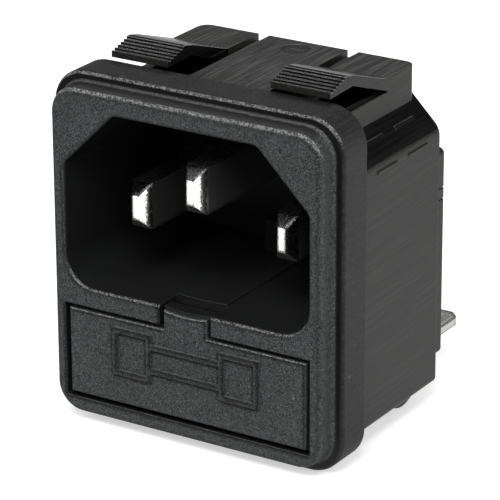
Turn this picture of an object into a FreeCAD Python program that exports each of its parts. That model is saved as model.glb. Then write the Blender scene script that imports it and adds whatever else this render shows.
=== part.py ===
"""Panel-mount mains socket with a pull-out fuse drawer.

Frame: millimetres, X to the right and Z up as seen from the front, Y towards the rear.
The origin is the middle of the plane in which the flange seats on its panel.
"""
import FreeCAD, Part
import os
import re
import Sketcher
from FreeCAD import Placement, Rotation, Vector

# Driving dimensions, millimetres
SIZES = {
    # Bezel
    "plate_wide": 25.7,
    "plate_tall": 28.5,
    "plate_foot": 0.82,
    "plate_thick": 1.8,
    "plate_round": 2.4,
    "plate_edge": 0.45,
    "cove_round": 0.45,
    "flange_margin": 0.9,
    "flange_thick": 3.5,
    "flange_round": 3.1,
    "flange_edge": 0.4,
    # Body behind the flange
    "body_wide": 25.2,
    "body_long": 13.9,
    "body_over": 0.3,
    "body_drop": 13.43,
    "corner_drop": 5.25,
    "shoulder_drop": 3.0,
    "corner_round": 1.6,
    "bottom_round": 0.5,
    # Recess for the plug
    "recess_wide": 23.2,
    "recess_margin": 1.81,
    "recess_web": 1.65,
    "recess_cut": 4.85,
    "recess_vertex": 0.9,
    "recess_round": 2.6,
    "recess_wall": 1.2,
    "lead_in": 0.3,
    # Pins
    "pin_share": 0.4172,
    "pin_spacing": 14.0,
    "earth_rise": 3.45,
    "pin_wide": 2.0,
    "pin_tall": 4.0,
    "line_setback": 3.5,
    "earth_setback": 1.0,
    "tip_long": 1.0,
    "tip_wide": 0.75,
    "tip_tall": 2.12,
    "pin_seat": 2.3,
    "seat_wall": 0.55,
    "pin_clear": 0.05,
    # Quick-connect tabs
    "tab_wide": 6.3,
    "tab_thick": 0.8,
    "tab_reach": 22.7,
    "tab_crop": 0.75,
    # Snap latches on the top
    "latch_inner": 4.87,
    "latch_outer": 10.35,
    "latch_block": 4.8,
    "latch_root": 1.07,
    "knee_back": 3.8,
    "knee_under": 3.6,
    "knee_rise": 1.8,
    "knee_low": 0.95,
    "tip_gap": 0.06,
    "tooth_low": 0.85,
    "tooth_base": 1.42,
    "tooth_step": 0.44,
    "tooth_count": 6,
    "tooth_rise": 0.25,
    "tooth_fall": 0.125,
    "crest_long": 0.45,
    "latch_round": 1.0,
    "plank_wide": 7.6,
    "rail_thick": 0.95,
    "rail_drop": 1.15,
    "well_drop": 1.35,
    "well_flat": 7.5,
    "slot_drop": 0.6,
    "slot_web": 2.2,
    # Drawer opening and chamber
    "opening_wide": 23.58,
    "opening_wall": 0.54,
    "opening_tall": 8.34,
    "opening_deep": 1.75,
    "chamber_wide": 23.2,
    "chamber_floor": 0.63,
    "chamber_tall": 8.1,
    "chamber_wall": 1.6,
    "thumb_wide": 4.97,
    "thumb_deep": 2.6,
    "thumb_sink": 0.15,
    "thumb_bow": 0.2,
    "thumb_fall": 0.3,
    "floor_rib": 0.2,
    "floor_rib_wide": 4.8,
    "floor_rib_bow": 0.1,
    "stop_wide": 3.2,
    "stop_tall": 2.8,
    "stop_long": 3.2,
    # Fuse drawer
    "drawer_gap": 0.2,
    "face_inset": 0.2,
    "face_step": 0.5,
    "face_edge": 0.15,
    "panel_thick": 1.6,
    "tray_gap": 0.25,
    "tray_long": 15.1,
    "tray_wall": 0.9,
    "spare_back": 5.1,
    "live_back": 11.4,
    "divider_low": 1.2,
    "slot_from": 6.9,
    # Fuse symbol on the drawer
    "sign_high": 0.2,
    "sign_line": 0.45,
    "sign_near": 3.3,
    "sign_far": 7.05,
    "sign_tall": 4.2,
    "sign_bar": 2.55,
    "sign_over": 5.09,
    # Fuses
    "fuse_long": 20.0,
    "fuse_wide": 5.2,
    "cap_long": 5.2,
    "cap_wall": 0.3,
    "glass_clear": 0.03,
    "glass_wall": 0.6,
    "wire_thick": 0.25,
    "fuse_over": 4.63,
    "fuse_clear": 0.1,
    "fuse_rest": 0.02,
    # Fuse clips
    "clip_near": 7.2,
    "clip_far": 9.8,
    "clip_thick": 0.4,
    "clip_clear": 0.1,
    "clip_reach": 7.7,
    "clip_flare": 0.35,
    "stem_wide": 1.6,
    "stem_tall": 1.4,
    # Rear cover
    "cover_wide": 24.8,
    "cover_rise": 3.7,
    "cover_inset": 2.23,
    "cover_thick": 1.2,
    "cover_raise": 0.9,
    "cover_round": 0.5,
    "raised_round": 1.6,
    "cover_margin": 1.3,
    "cover_room": 0.9,
    "strap_wide": 2.8,
    "strap_over": 1.0,
    "tab_over": 2.0,
    "catch_below": 3.9,
    "catch_tall": 0.9,
    "catch_deep": 0.5,
    "cover_clear": 0.1,
    # Bottom ridges and mould marks
    "ridge_from": 6.5,
    "ridge_to": 12.1,
    "ridge_back": 6.5,
    "ridge_long": 3.5,
    "ridge_high": 0.53,
    "land_high": 0.1,
    "land_under": 0.86,
    "land_over": 1.45,
    "land_long": 3.1,
    "land_pitch": 5.0,
    "land_back": 5.2,
    "ejector_wide": 2.6,
    "ejector_inset": 2.0,
    "ejector_deep": 0.08,
    "overcut": 1.0,
}

# Places worked out from the driving dimensions
PLACES = {
    "front": "(-plate_thick - flange_thick)",
    "plate_back": "(-flange_thick)",
    "plate_low": "(-body_drop - plate_foot)",
    "plate_top": "(plate_low + plate_tall)",
    "flange_half": "(plate_wide / 2 + flange_margin)",
    "flange_low": "(plate_low - flange_margin)",
    "flange_top": "(plate_top + flange_margin)",
    "body_top": "(plate_top + body_over)",
    "corner_low": "(body_top - corner_drop)",
    "corner_high": "(body_top - shoulder_drop)",
    "opening_low": "(body_drop - opening_wall)",
    "opening_high": "(opening_low - opening_tall)",
    "chamber_low": "(body_drop - chamber_floor)",
    "chamber_high": "(chamber_low - chamber_tall)",
    "chamber_back": "(body_long - chamber_wall)",
    "chamber_front": "(front + opening_deep - overcut / 2)",
    "recess_half": "(recess_wide / 2)",
    "recess_roof": "(plate_top - recess_margin)",
    "recess_floor": "(-opening_high + recess_web)",
    "recess_back": "(body_long - recess_wall)",
    "recess_deep": "(recess_back - front)",
    "pin_level": "(recess_floor + pin_share * (recess_roof - recess_floor))",
    "latch_front": "(body_long - latch_block)",
    "fuse_level": "(body_drop - fuse_over)",
    "sign_level": "(opening_low - sign_over)",
    "cover_top": "(pin_level + cover_rise)",
    "cover_drop": "(body_drop - cover_inset)",
    "strap_drop": "(fuse_level + strap_over)",
    "tab_drop": "(fuse_level + tab_over)",
    "catch_level": "(cover_top - catch_below)",
    "ridge_near": "(body_long - ridge_back)",
    "land_low": "(corner_low - land_under)",
    "land_up": "(corner_low + land_over)",
    "land_second": "(body_long - land_back)",
    "land_first": "(land_second - land_pitch)",
    "ejector_back": "(body_long - ejector_inset)",
    "body_half": "(body_wide / 2)",
    "earth_level": "(pin_level + earth_rise)",
    "panel_back": "(front + panel_thick)",
    "plank_half": "(plank_wide / 2)",
    "rail_inner": "(latch_outer - rail_thick)",
    "rail_top": "(body_top - rail_drop)",
    "well_floor": "(body_top - well_drop)",
    "cap_radius": "(fuse_wide / 2)",
    "glass_radius": "(cap_radius - cap_wall - glass_clear)",
    "bay_half": "(cap_radius + fuse_clear)",
    "bay_long": "(fuse_long / 2 + fuse_clear)",
    "bay_floor": "(-fuse_level - cap_radius - fuse_rest)",
    "spare_at": "(front + spare_back)",
    "live_at": "(front + live_back)",
    "tray_half": "(chamber_wide / 2 - tray_gap)",
    "tray_low": "(-chamber_low + tray_gap)",
    "tray_high": "(-chamber_high - tray_gap)",
    "tray_back": "(front + tray_long)",
    "grip_half": "(cap_radius + clip_clear)",
    "panel_half": "(opening_wide / 2 - drawer_gap)",
    "panel_low": "(-opening_low + drawer_gap)",
    "panel_high": "(-opening_high - drawer_gap)",
    "thumb_half": "(thumb_wide / 2 - drawer_gap)",
    "thumb_high": "(recess_floor - thumb_sink)",
    "cover_back": "(body_long + cover_thick)",
    "line_x": "(-pin_spacing / 2)",
    "neutral_x": "(pin_spacing / 2)",
    "clip_mid": "((clip_near + clip_far) / 2)",
    "clip_tip": "(chamber_back - clip_reach)",
    "cover_half": "(cover_wide / 2)",
    "room_half": "(cover_half - cover_margin - cover_room)",
    "tab_top": "(-tab_drop)",
    "tab_low": "(-tab_drop - tab_thick)",
    "stem_low": "(-fuse_level - stem_tall / 2)",
    "stem_top": "(-fuse_level + stem_tall / 2)",
    "sign_half": "(sign_tall / 2)",
    "face_half": "(panel_half - face_inset)",
    "sign_front": "(front - sign_high)",
}

# Faces on which an outline is drawn: its plane and the way that a prism leaves it
FRONTS = {
    "front": ("XZ_Plane", -1),
    "side": ("YZ_Plane", 1),
    "level": ("XY_Plane", 1),
}
NEAR = 1e-4


def expand(text):
    """Writes an expression with every size and place in full."""
    def full(match):
        word = match.group(0)
        if word in PLACES:
            return expand(PLACES[word])
        return "Sizes." + word if word in SIZES else word
    return re.sub(r"[a-z_]+", full, str(text))


def size(text):
    """Gives the value of an expression in millimetres."""
    return float(sheet.evalExpression(expand(text)))


def make_body(label):
    """Starts one piece of the socket."""
    body = doc.addObject("PartDesign::Body", label)
    body.Label = label
    pieces.append(body)
    return body


def draw(body, name, face, start, outlines):
    """Draws closed outlines whose corners are held by the sheet."""
    role, normal = FRONTS[face]
    plane = [part for part in body.Origin.OriginFeatures if part.Role == role][0]
    sketch = body.newObject("Sketcher::SketchObject", name + "_outline")
    sketch.AttachmentSupport = [(plane, "")]
    sketch.MapMode = "FlatFace"
    sketch.setExpression("AttachmentOffset.Base.z", f"{normal} * ({expand(start)})")
    first = 0
    for corners in outlines:
        spots = [Vector(size(across), size(up), 0) for across, up in corners]
        count = len(spots)
        order = [(index, (index + 1) % count) for index in range(count)]
        sketch.addGeometry([Part.LineSegment(spots[here], spots[after]) for here, after in order])
        sketch.addConstraint([
            Sketcher.Constraint("Coincident", first + here, 2, first + after, 1) for here, after in order])
        for index, corner in enumerate(corners):
            for axis, kind in enumerate(("DistanceX", "DistanceY")):
                held = sketch.addConstraint(
                    Sketcher.Constraint(kind, -1, 1, first + index, 1, spots[index][axis]))
                sketch.setExpression(f"Constraints[{held}]", expand(corner[axis]))
        first += count
    return sketch


def add(body, name, face, start, length, *outlines):
    """Adds prisms that run from start along the face's positive axis."""
    sketch = draw(body, name, face, start, outlines)
    pad = body.newObject("PartDesign::Pad", name)
    pad.Profile = sketch
    pad.setExpression("Length", expand(length))
    pad.Reversed = FRONTS[face][1] < 0
    grown.append(pad)
    return pad


def cut(body, name, face, start, length, *outlines):
    """Cuts prisms that run from start along the face's positive axis."""
    sketch = draw(body, name, face, start, outlines)
    pocket = body.newObject("PartDesign::Pocket", name)
    pocket.Profile = sketch
    pocket.setExpression("Length", expand(length))
    pocket.Reversed = FRONTS[face][1] > 0
    shrunk.append(pocket)
    return pocket


def block(low_across, high_across, low_up, high_up):
    """Gives the four corners of an upright rectangle."""
    return [(low_across, low_up), (high_across, low_up), (high_across, high_up), (low_across, high_up)]


def mirrored(side, near, far):
    """Gives the lower and the higher X of a pair that is mirrored to one side."""
    return (near, far) if side > 0 else (f"-({far})", f"-({near})")


def across_middle(corners):
    """Mirrors an outline to the other side of the middle."""
    return [(f"-({across})", up) for across, up in corners]


def soften(body, name, kind, amount, wanted):
    """Rounds or bevels the edges of the body that the test picks out."""
    doc.recompute()
    base = body.Tip
    edges = base.Shape.Edges
    chosen = [f"Edge{number}" for number, edge in enumerate(edges, 1) if wanted(edge)]
    if not chosen:
        raise RuntimeError(f"{name}: no edge found")
    feature = body.newObject(kind, name)
    feature.Base = (base, chosen)
    feature.setExpression("Radius" if kind.endswith("Fillet") else "Size", expand(amount))
    return feature


def along_y(across, up):
    """Picks edges that run along Y through a place."""
    spot_x, spot_z = size(across), size(up)

    def wanted(edge):
        return len(edge.Vertexes) == 2 and all(
            abs(end.X - spot_x) < NEAR and abs(end.Z - spot_z) < NEAR for end in edge.Vertexes)
    return wanted


def upright_at(across, back, above):
    """Picks upright edges through a place, above a level."""
    spot_x, spot_y, low = size(across), size(back), size(above) - NEAR

    def wanted(edge):
        return len(edge.Vertexes) == 2 and all(
            abs(end.X - spot_x) < NEAR and abs(end.Y - spot_y) < NEAR and end.Z >= low
            for end in edge.Vertexes)
    return wanted


def rim(back, half_wide, low, high):
    """Picks the edges that close a rounded rectangle at one depth."""
    depth, half, bottom, top = (size(text) for text in (back, half_wide, low, high))

    def on_border(end):
        beside = abs(abs(end.X) - half) < NEAR and bottom - NEAR <= end.Z <= top + NEAR
        level = min(abs(end.Z - bottom), abs(end.Z - top)) < NEAR and abs(end.X) <= half + NEAR
        return abs(end.Y - depth) < NEAR and (beside or level)

    def wanted(edge):
        return len(edge.Vertexes) == 2 and all(on_border(end) for end in edge.Vertexes)
    return wanted


def bowed(half, level, sag):
    """Gives the points of a line that dips in its middle, from left to right."""
    return [(f"{share} * ({half})", f"{level} - {sag} * (1 - {share} * {share})")
            for share in (-1, -0.75, -0.5, -0.25, 0, 0.25, 0.5, 0.75, 1)]


def any_of(*tests):
    """Picks an edge that any of the tests picks."""
    return lambda edge: any(test(edge) for test in tests)


# The document and its sheet of sizes
doc = FreeCAD.newDocument("MainsSocket")
sheet = doc.addObject("Spreadsheet::Sheet", "Sizes")
for row, (alias, value) in enumerate(SIZES.items(), 1):
    sheet.set(f"A{row}", alias.replace("_", " "))
    sheet.set(f"B{row}", str(value))
    sheet.setAlias(f"B{row}", alias)
doc.recompute()
pieces = []
grown = []
shrunk = []

# Housing: the bezel
housing = make_body("housing")
add(housing, "plate", "front", "front", "plate_thick", block(
    "-plate_wide / 2", "plate_wide / 2", "plate_low", "plate_top"))
soften(housing, "plate_corners", "PartDesign::Fillet", "plate_round", any_of(*(
    along_y(f"{side} * plate_wide / 2", up) for side in (-1, 1) for up in ("plate_low", "plate_top"))))
add(housing, "flange", "front", "plate_back", "flange_thick", block(
    "-flange_half", "flange_half", "flange_low", "flange_top"))
soften(housing, "flange_corners", "PartDesign::Fillet", "flange_round", any_of(*(
    along_y(f"{side} * flange_half", up) for side in (-1, 1) for up in ("flange_low", "flange_top"))))
soften(housing, "plate_rim", "PartDesign::Fillet", "plate_edge", rim(
    "front", "plate_wide / 2", "plate_low", "plate_top"))
soften(housing, "cove", "PartDesign::Fillet", "cove_round", rim(
    "plate_back", "plate_wide / 2", "plate_low", "plate_top"))
soften(housing, "flange_rim", "PartDesign::Fillet", "flange_edge", rim(
    "plate_back", "flange_half", "flange_low", "flange_top"))

# Housing: the body behind the flange
add(housing, "shell", "front", "0", "body_long", [
    ("-body_half", "-body_drop"),
    ("body_half", "-body_drop"),
    ("body_half", "corner_low"),
    ("latch_outer", "corner_high"),
    ("latch_outer", "body_top"),
    ("-latch_outer", "body_top"),
    ("-latch_outer", "corner_high"),
    ("-body_half", "corner_low"),
])
soften(housing, "shell_sides", "PartDesign::Fillet", "corner_round", any_of(
    along_y("body_half", "corner_low"), along_y("-body_half", "corner_low")))
soften(housing, "shell_bottom", "PartDesign::Fillet", "bottom_round", any_of(
    along_y("body_half", "-body_drop"), along_y("-body_half", "-body_drop")))
soften(housing, "latch_corners", "PartDesign::Fillet", "latch_round", any_of(*(
    upright_at(across, "body_long", "corner_high") for across in ("latch_outer", "-latch_outer"))))

# Housing: a sprung latch on each side of the top
teeth = [("tip_gap", "body_top + tooth_low")]
for tooth in range(SIZES["tooth_count"]):
    lift = f"body_top + tooth_base + {tooth} * (tooth_rise - tooth_fall)"
    teeth.append((f"tip_gap + {tooth} * tooth_step", lift))
    if tooth < SIZES["tooth_count"] - 1:
        teeth.append((f"tip_gap + {tooth + 1} * tooth_step", f"{lift} - tooth_fall"))
    else:
        teeth.append((f"tip_gap + {tooth} * tooth_step + crest_long", lift))
latch_side = teeth + [
    ("knee_back", "body_top + knee_rise"),
    ("latch_front", "body_top"),
    ("latch_front + overcut", "body_top"),
    ("latch_front + overcut", "body_top - latch_root"),
    ("latch_front", "body_top - latch_root"),
    ("knee_under", "body_top + knee_low"),
]
well = [
    ("plank_half", "body_top + overcut"),
    ("plank_half", "well_floor"),
    ("well_flat", "well_floor"),
    ("rail_inner", "well_floor - (rail_inner - well_flat)"),
    ("rail_inner", "rail_top"),
    ("latch_outer + overcut", "rail_top"),
    ("latch_outer + overcut", "body_top + overcut"),
]
cut(housing, "wells", "front", "0", "latch_front", well, across_middle(well))
slot = block("plank_half", "latch_inner", "well_floor", "body_top + overcut")
cut(housing, "slots", "front", "latch_front", "body_long - latch_front - slot_web",
    slot, across_middle(slot))
slot_end = block("plank_half", "latch_inner", "body_top - slot_drop", "body_top + overcut")
cut(housing, "slot_ends", "front", "body_long - slot_web", "slot_web + overcut",
    slot_end, across_middle(slot_end))
add(housing, "left_latch", "side", "-latch_outer", "latch_outer - latch_inner", latch_side)
add(housing, "right_latch", "side", "latch_inner", "latch_outer - latch_inner", latch_side)

# Housing: the recess for the plug, the drawer's opening and the notch for its thumb tab
cut(housing, "recess", "front", "front", "recess_deep", [
    ("-recess_half", "recess_floor"),
    ("recess_half", "recess_floor"),
    ("recess_half", "recess_roof - recess_cut"),
    ("recess_half - recess_cut", "recess_roof"),
    ("-recess_half + recess_cut", "recess_roof"),
    ("-recess_half", "recess_roof - recess_cut"),
])
cut(housing, "opening", "front", "front", "opening_deep", block(
    "-opening_wide / 2", "opening_wide / 2", "-opening_low", "-opening_high"))
cut(housing, "thumb_notch", "front", "front", "thumb_deep", block(
    "-thumb_wide / 2", "thumb_wide / 2", "-chamber_high - overcut", "recess_floor + overcut"))
soften(housing, "recess_bottom", "PartDesign::Fillet", "recess_round", any_of(
    along_y("recess_half", "recess_floor"), along_y("-recess_half", "recess_floor")))
soften(housing, "recess_top", "PartDesign::Fillet", "recess_vertex", any_of(*(
    along_y(f"{side} * ({across})", up) for side in (-1, 1) for across, up in (
        ("recess_half", "recess_roof - recess_cut"), ("recess_half - recess_cut", "recess_roof")))))


def recess_mouth(edge):
    """Picks the edges round the mouth of the recess."""
    box = edge.BoundBox
    depth = size("front")
    spot = edge.CenterOfMass
    return abs(box.YMin - depth) < NEAR and abs(box.YMax - depth) < NEAR and (
        abs(spot.x) <= size("recess_half") + NEAR
        and size("recess_floor") - NEAR <= spot.z <= size("recess_roof") + NEAR)


soften(housing, "recess_lead", "PartDesign::Fillet", "lead_in", recess_mouth)


def about_pins(space):
    """Gives a rectangle round each pin, at a distance from it."""
    places = (("line_x", "pin_level"), ("neutral_x", "pin_level"), ("0", "earth_level"))
    return [block(
        f"{across} - pin_wide / 2 - {space}", f"{across} + pin_wide / 2 + {space}",
        f"{up} - pin_tall / 2 - {space}", f"{up} + pin_tall / 2 + {space}") for across, up in places]


add(housing, "pin_seats", "front", "recess_back - pin_seat", "pin_seat + overcut / 2",
    *about_pins("seat_wall"))
add(housing, "floor_rib", "front", "front + thumb_deep", "recess_deep - thumb_deep", [
    ("floor_rib_wide / 2", "recess_floor - overcut / 2"),
    ("-floor_rib_wide / 2", "recess_floor - overcut / 2"),
    *bowed("floor_rib_wide / 2", "recess_floor + floor_rib", "floor_rib_bow"),
])
add(housing, "stop", "front", "recess_back - stop_long", "stop_long + overcut / 2", block(
    "-stop_wide / 2", "stop_wide / 2", "recess_floor - overcut / 2", "recess_floor + stop_tall"))

# Housing: the drawer's chamber
cut(housing, "chamber", "front", "chamber_front", "chamber_back - chamber_front", block(
    "-chamber_wide / 2", "chamber_wide / 2", "-chamber_low", "-chamber_high"))

# Housing: holes for the pins and for the stems of the fuse clips
cut(housing, "pin_holes", "front", "recess_back - pin_seat - overcut",
    "body_long - recess_back + pin_seat + 2 * overcut", *about_pins("pin_clear"))
stem_hole = block("clip_mid - stem_wide / 2 - pin_clear", "clip_mid + stem_wide / 2 + pin_clear",
                  "stem_low - pin_clear", "stem_top + pin_clear")
cut(housing, "stem_holes", "front", "chamber_back - overcut", "body_long - chamber_back + 2 * overcut",
    stem_hole, across_middle(stem_hole))

# Housing: arched ridges below, catches for the rear cover and the marks that the mould leaves
ridge = [("ridge_near", "-body_drop + overcut / 4")]
for share in (0, 0.15, 0.32, 0.5, 0.68, 0.85, 1):
    fall = f"ridge_high * 4 * {share} * (1 - {share})"
    ridge.append((f"ridge_near + {share} * ridge_long", f"-body_drop - {fall}"))
ridge.append(("ridge_near + ridge_long", "-body_drop + overcut / 4"))
add(housing, "left_ridge", "side", "-ridge_to", "ridge_to - ridge_from", ridge)
add(housing, "right_ridge", "side", "ridge_from", "ridge_to - ridge_from", ridge)
catch = block("cover_half - catch_deep + cover_clear", "cover_half",
              "catch_level - catch_tall / 2", "catch_level + catch_tall / 2")
add(housing, "catches", "front", "body_long - overcut / 4", "overcut / 4 + cover_thick",
    catch, across_middle(catch))
slope = "(body_half + corner_low)"
land = [
    ("body_half + land_high", "land_low"),
    ("body_half + land_high", "corner_low - corner_round / 2 + land_high"),
    (f"{slope} - land_up + land_high", "land_up"),
    (f"{slope} - land_up - 2 * land_high", "land_up"),
    ("body_half - 2 * land_high", "corner_low - corner_round / 2"),
    ("body_half - land_high", "land_low"),
]
for place in ("first", "second"):
    add(housing, f"{place}_lands", "front", f"land_{place}", "land_long", land, across_middle(land))
mark = housing.newObject("PartDesign::SubtractiveCylinder", "ejector_mark")
mark.setExpression("Radius", expand("ejector_wide / 2"))
mark.setExpression("Height", expand("ejector_deep + overcut"))
mark.setExpression("Placement.Base.y", expand("ejector_back"))
mark.setExpression("Placement.Base.z", expand("body_top - ejector_deep"))
shrunk.append(mark)

# Rear cover: a shallow lid over the housing's back
rear_cover = make_body("rear_cover")
add(rear_cover, "lid", "front", "body_long", "cover_thick", block(
    "-cover_half", "cover_half", "-cover_drop", "cover_top"))
soften(rear_cover, "lid_corners", "PartDesign::Fillet", "cover_round", any_of(*(
    along_y(f"{side} * cover_half", up) for side in (-1, 1) for up in ("-cover_drop", "cover_top"))))
add(rear_cover, "raised_middle", "front", "cover_back", "cover_raise", block(
    "-cover_half + cover_margin", "cover_half - cover_margin",
    "-cover_drop + cover_margin", "cover_top - cover_margin"))
soften(rear_cover, "raised_corners", "PartDesign::Fillet", "raised_round", any_of(*(
    along_y(f"{side} * (cover_half - cover_margin)", up)
    for side in (-1, 1) for up in ("-cover_drop + cover_margin", "cover_top - cover_margin"))))
soften(rear_cover, "raised_rim", "PartDesign::Fillet", "flange_edge", rim(
    "cover_back + cover_raise", "cover_half - cover_margin", "-cover_drop + cover_margin",
    "cover_top - cover_margin"))
cut(rear_cover, "strap_room", "front", "body_long", "cover_room", block(
    "-room_half", "room_half", "-cover_drop + cover_margin", "cover_top - cover_margin - cover_room"))
cut(rear_cover, "leg_room", "front", "body_long", "cover_room", block(
    "clip_near - cover_clear", "clip_far + cover_clear",
    "-cover_drop - overcut", "-cover_drop + cover_margin"))
cut(rear_cover, "terminal_notch", "front", "body_long", "cover_thick + cover_raise", block(
    "neutral_x - tab_wide / 2 - cover_clear", "neutral_x + tab_wide / 2 + cover_clear",
    "-cover_drop - overcut", "tab_top + cover_clear"))
cut(rear_cover, "earth_notch", "front", "body_long", "cover_thick + cover_raise", block(
    "-tab_thick / 2 - cover_clear", "tab_thick / 2 + cover_clear",
    "earth_level - tab_wide / 2 - cover_clear", "cover_top + overcut"))
cut(rear_cover, "neutral_slot", "front", "body_long", "cover_thick + cover_raise", block(
    "neutral_x - tab_thick / 2 - cover_clear", "neutral_x + tab_thick / 2 + cover_clear",
    "pin_level - tab_wide / 2 - cover_clear", "pin_level + tab_wide / 2 + cover_clear"))
catch_notch = block(
    "cover_half - catch_deep", "cover_half + overcut",
    "catch_level - catch_tall / 2 - cover_clear", "catch_level + catch_tall / 2 + cover_clear")
cut(rear_cover, "catch_notches", "front", "body_long", "cover_thick", catch_notch, across_middle(catch_notch))


def make_blade(label, across, up, start):
    """Builds a flat pin with a tapered tip, as far as the housing's back."""
    body = make_body(label)
    full = block(f"{across} - pin_wide / 2", f"{across} + pin_wide / 2",
                 f"{up} - pin_tall / 2", f"{up} + pin_tall / 2")
    small = block(f"{across} - tip_wide / 2", f"{across} + tip_wide / 2",
                  f"{up} - tip_tall / 2", f"{up} + tip_tall / 2")
    add(body, f"{label}_blade", "front", f"{start} + tip_long", f"body_long - ({start}) - tip_long", full)
    tip = body.newObject("PartDesign::AdditiveLoft", f"{label}_tip")
    tip.Profile = draw(body, f"{label}_tip_front", "front", start, [small])
    tip.Sections = [draw(body, f"{label}_tip_back", "front", f"{start} + tip_long", [full])]
    tip.Ruled = True
    grown.append(tip)
    return body


def add_tab(body, name, face, start, low, high):
    """Adds a quick-connect tab with cropped corners behind the housing."""
    if face == "side":
        corners = [("body_long", low), ("tab_reach - tab_crop", low), ("tab_reach", f"{low} + tab_crop"),
                   ("tab_reach", f"{high} - tab_crop"), ("tab_reach - tab_crop", high), ("body_long", high)]
    else:
        corners = [(low, "body_long"), (high, "body_long"), (high, "tab_reach - tab_crop"),
                   (f"{high} - tab_crop", "tab_reach"), (f"{low} + tab_crop", "tab_reach"),
                   (low, "tab_reach - tab_crop")]
    return add(body, name, face, start, "tab_thick", corners)


# Pins: line on the left, neutral on the right and the longer earth above them
line_pin = make_blade("line_pin", "line_x", "pin_level", "front + line_setback")
add(line_pin, "line_strap", "front", "body_long", "tab_thick", block(
    "line_x - strap_wide / 2", "line_x + strap_wide / 2", "-strap_drop", "pin_level + strap_wide / 2"))
neutral_pin = make_blade("neutral_pin", "neutral_x", "pin_level", "front + line_setback")
add_tab(neutral_pin, "neutral_tab", "side", "neutral_x - tab_thick / 2",
        "pin_level - tab_wide / 2", "pin_level + tab_wide / 2")
earth_pin = make_blade("earth_pin", "0", "earth_level", "front + earth_setback")
add_tab(earth_pin, "earth_tab", "side", "-tab_thick / 2",
        "earth_level - tab_wide / 2", "earth_level + tab_wide / 2")

# Line terminal: a leg behind the right fuse clip, bent back into a level tab
line_terminal = make_body("line_terminal")
add(line_terminal, "terminal_leg", "front", "body_long", "tab_thick", block(
    "clip_near", "clip_far", "tab_low", "stem_top"))
add_tab(line_terminal, "terminal_tab", "level", "tab_low",
        "neutral_x - tab_wide / 2", "neutral_x + tab_wide / 2")


def make_clip(label, side):
    """Builds a two-armed fuse clip and the stem that goes through the housing's back."""
    body = make_body(label)
    tip, base = "clip_tip", "chamber_back - clip_thick"
    low, high = "-fuse_level - grip_half", "-fuse_level + grip_half"
    add(body, f"{label}_arms", "side", mirrored(side, "clip_near", "clip_far")[0], "clip_far - clip_near", [
        (tip, f"{low} - clip_flare"),
        (f"{tip} + 2 * clip_flare", low),
        (base, low),
        (base, high),
        (f"{tip} + 2 * clip_flare", high),
        (tip, f"{high} + clip_flare"),
        (tip, f"{high} + clip_flare + clip_thick"),
        (f"{tip} + 2 * clip_flare", f"{high} + clip_thick"),
        ("chamber_back", f"{high} + clip_thick"),
        ("chamber_back", f"{low} - clip_thick"),
        (f"{tip} + 2 * clip_flare", f"{low} - clip_thick"),
        (tip, f"{low} - clip_flare - clip_thick"),
    ])
    add(body, f"{label}_stem", "front", "chamber_back", "body_long - chamber_back", block(
        f"{side} * clip_mid - stem_wide / 2", f"{side} * clip_mid + stem_wide / 2", "stem_low", "stem_top"))
    return body


# Fuse clips: one on the line pin's strap, one on the terminal's leg
line_fuse_clip = make_clip("line_fuse_clip", -1)
terminal_fuse_clip = make_clip("terminal_fuse_clip", 1)


def panel_outline(inset):
    """Gives the drawer front's outline, with its thumb tab, pulled in by a distance."""
    return [
        (f"panel_half - {inset}", f"panel_high - {inset}"),
        (f"panel_half - {inset}", f"panel_low + {inset}"),
        (f"-panel_half + {inset}", f"panel_low + {inset}"),
        (f"-panel_half + {inset}", f"panel_high - {inset}"),
        (f"-thumb_half + {inset}", f"panel_high - {inset}"),
        *bowed(f"thumb_half - {inset}", f"thumb_high - {inset}", "thumb_bow"),
        (f"thumb_half - {inset}", f"panel_high - {inset}"),
    ]


# Fuse drawer: its front, level with the bezel
fuse_drawer = make_body("fuse_drawer")
add(fuse_drawer, "drawer_front", "front", "front + face_step", "panel_thick - face_step", panel_outline("0"))
add(fuse_drawer, "drawer_face", "front", "front", "face_step", panel_outline("face_inset"))


def face_rim(edge):
    """Picks the edges round the drawer's face."""
    box = edge.BoundBox
    return max(abs(box.YMin - size("front")), abs(box.YMax - size("front"))) < NEAR


soften(fuse_drawer, "face_rim", "PartDesign::Fillet", "face_edge", face_rim)

# Fuse drawer: the thumb tab goes on behind the front and falls a little towards the rear
add(fuse_drawer, "thumb_back", "side", "-thumb_half", "2 * thumb_half", [
    ("panel_back - overcut / 4", "panel_high - overcut"),
    ("front + thumb_deep - drawer_gap", "panel_high - overcut / 2"),
    ("front + thumb_deep - drawer_gap", "thumb_high - thumb_bow - thumb_fall"),
    ("panel_back - overcut / 4", "thumb_high - thumb_bow"),
])

# Fuse drawer: the tray with a bay for the live fuse behind one for the spare
add(fuse_drawer, "tray", "front", "panel_back", "tray_long - panel_thick", block(
    "-tray_half", "tray_half", "tray_low", "tray_high"))
for name, middle in (("spare", "spare_at"), ("live", "live_at")):
    cut(fuse_drawer, f"{name}_bay", "level", "bay_floor", "tray_high - bay_floor + overcut", block(
        "-bay_long", "bay_long", f"{middle} - bay_half", f"{middle} + bay_half"))
cut(fuse_drawer, "divider_top", "level", "tray_high - divider_low", "divider_low + overcut", block(
    "-bay_long", "bay_long", "spare_at", "live_at"))
clip_slot = block("slot_from", "bay_long", "clip_tip - 2 * drawer_gap", "tray_back + overcut")
cut(fuse_drawer, "clip_slots", "level", "tray_low - overcut", "tray_high - tray_low + 2 * overcut",
    clip_slot, across_middle(clip_slot))

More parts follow.
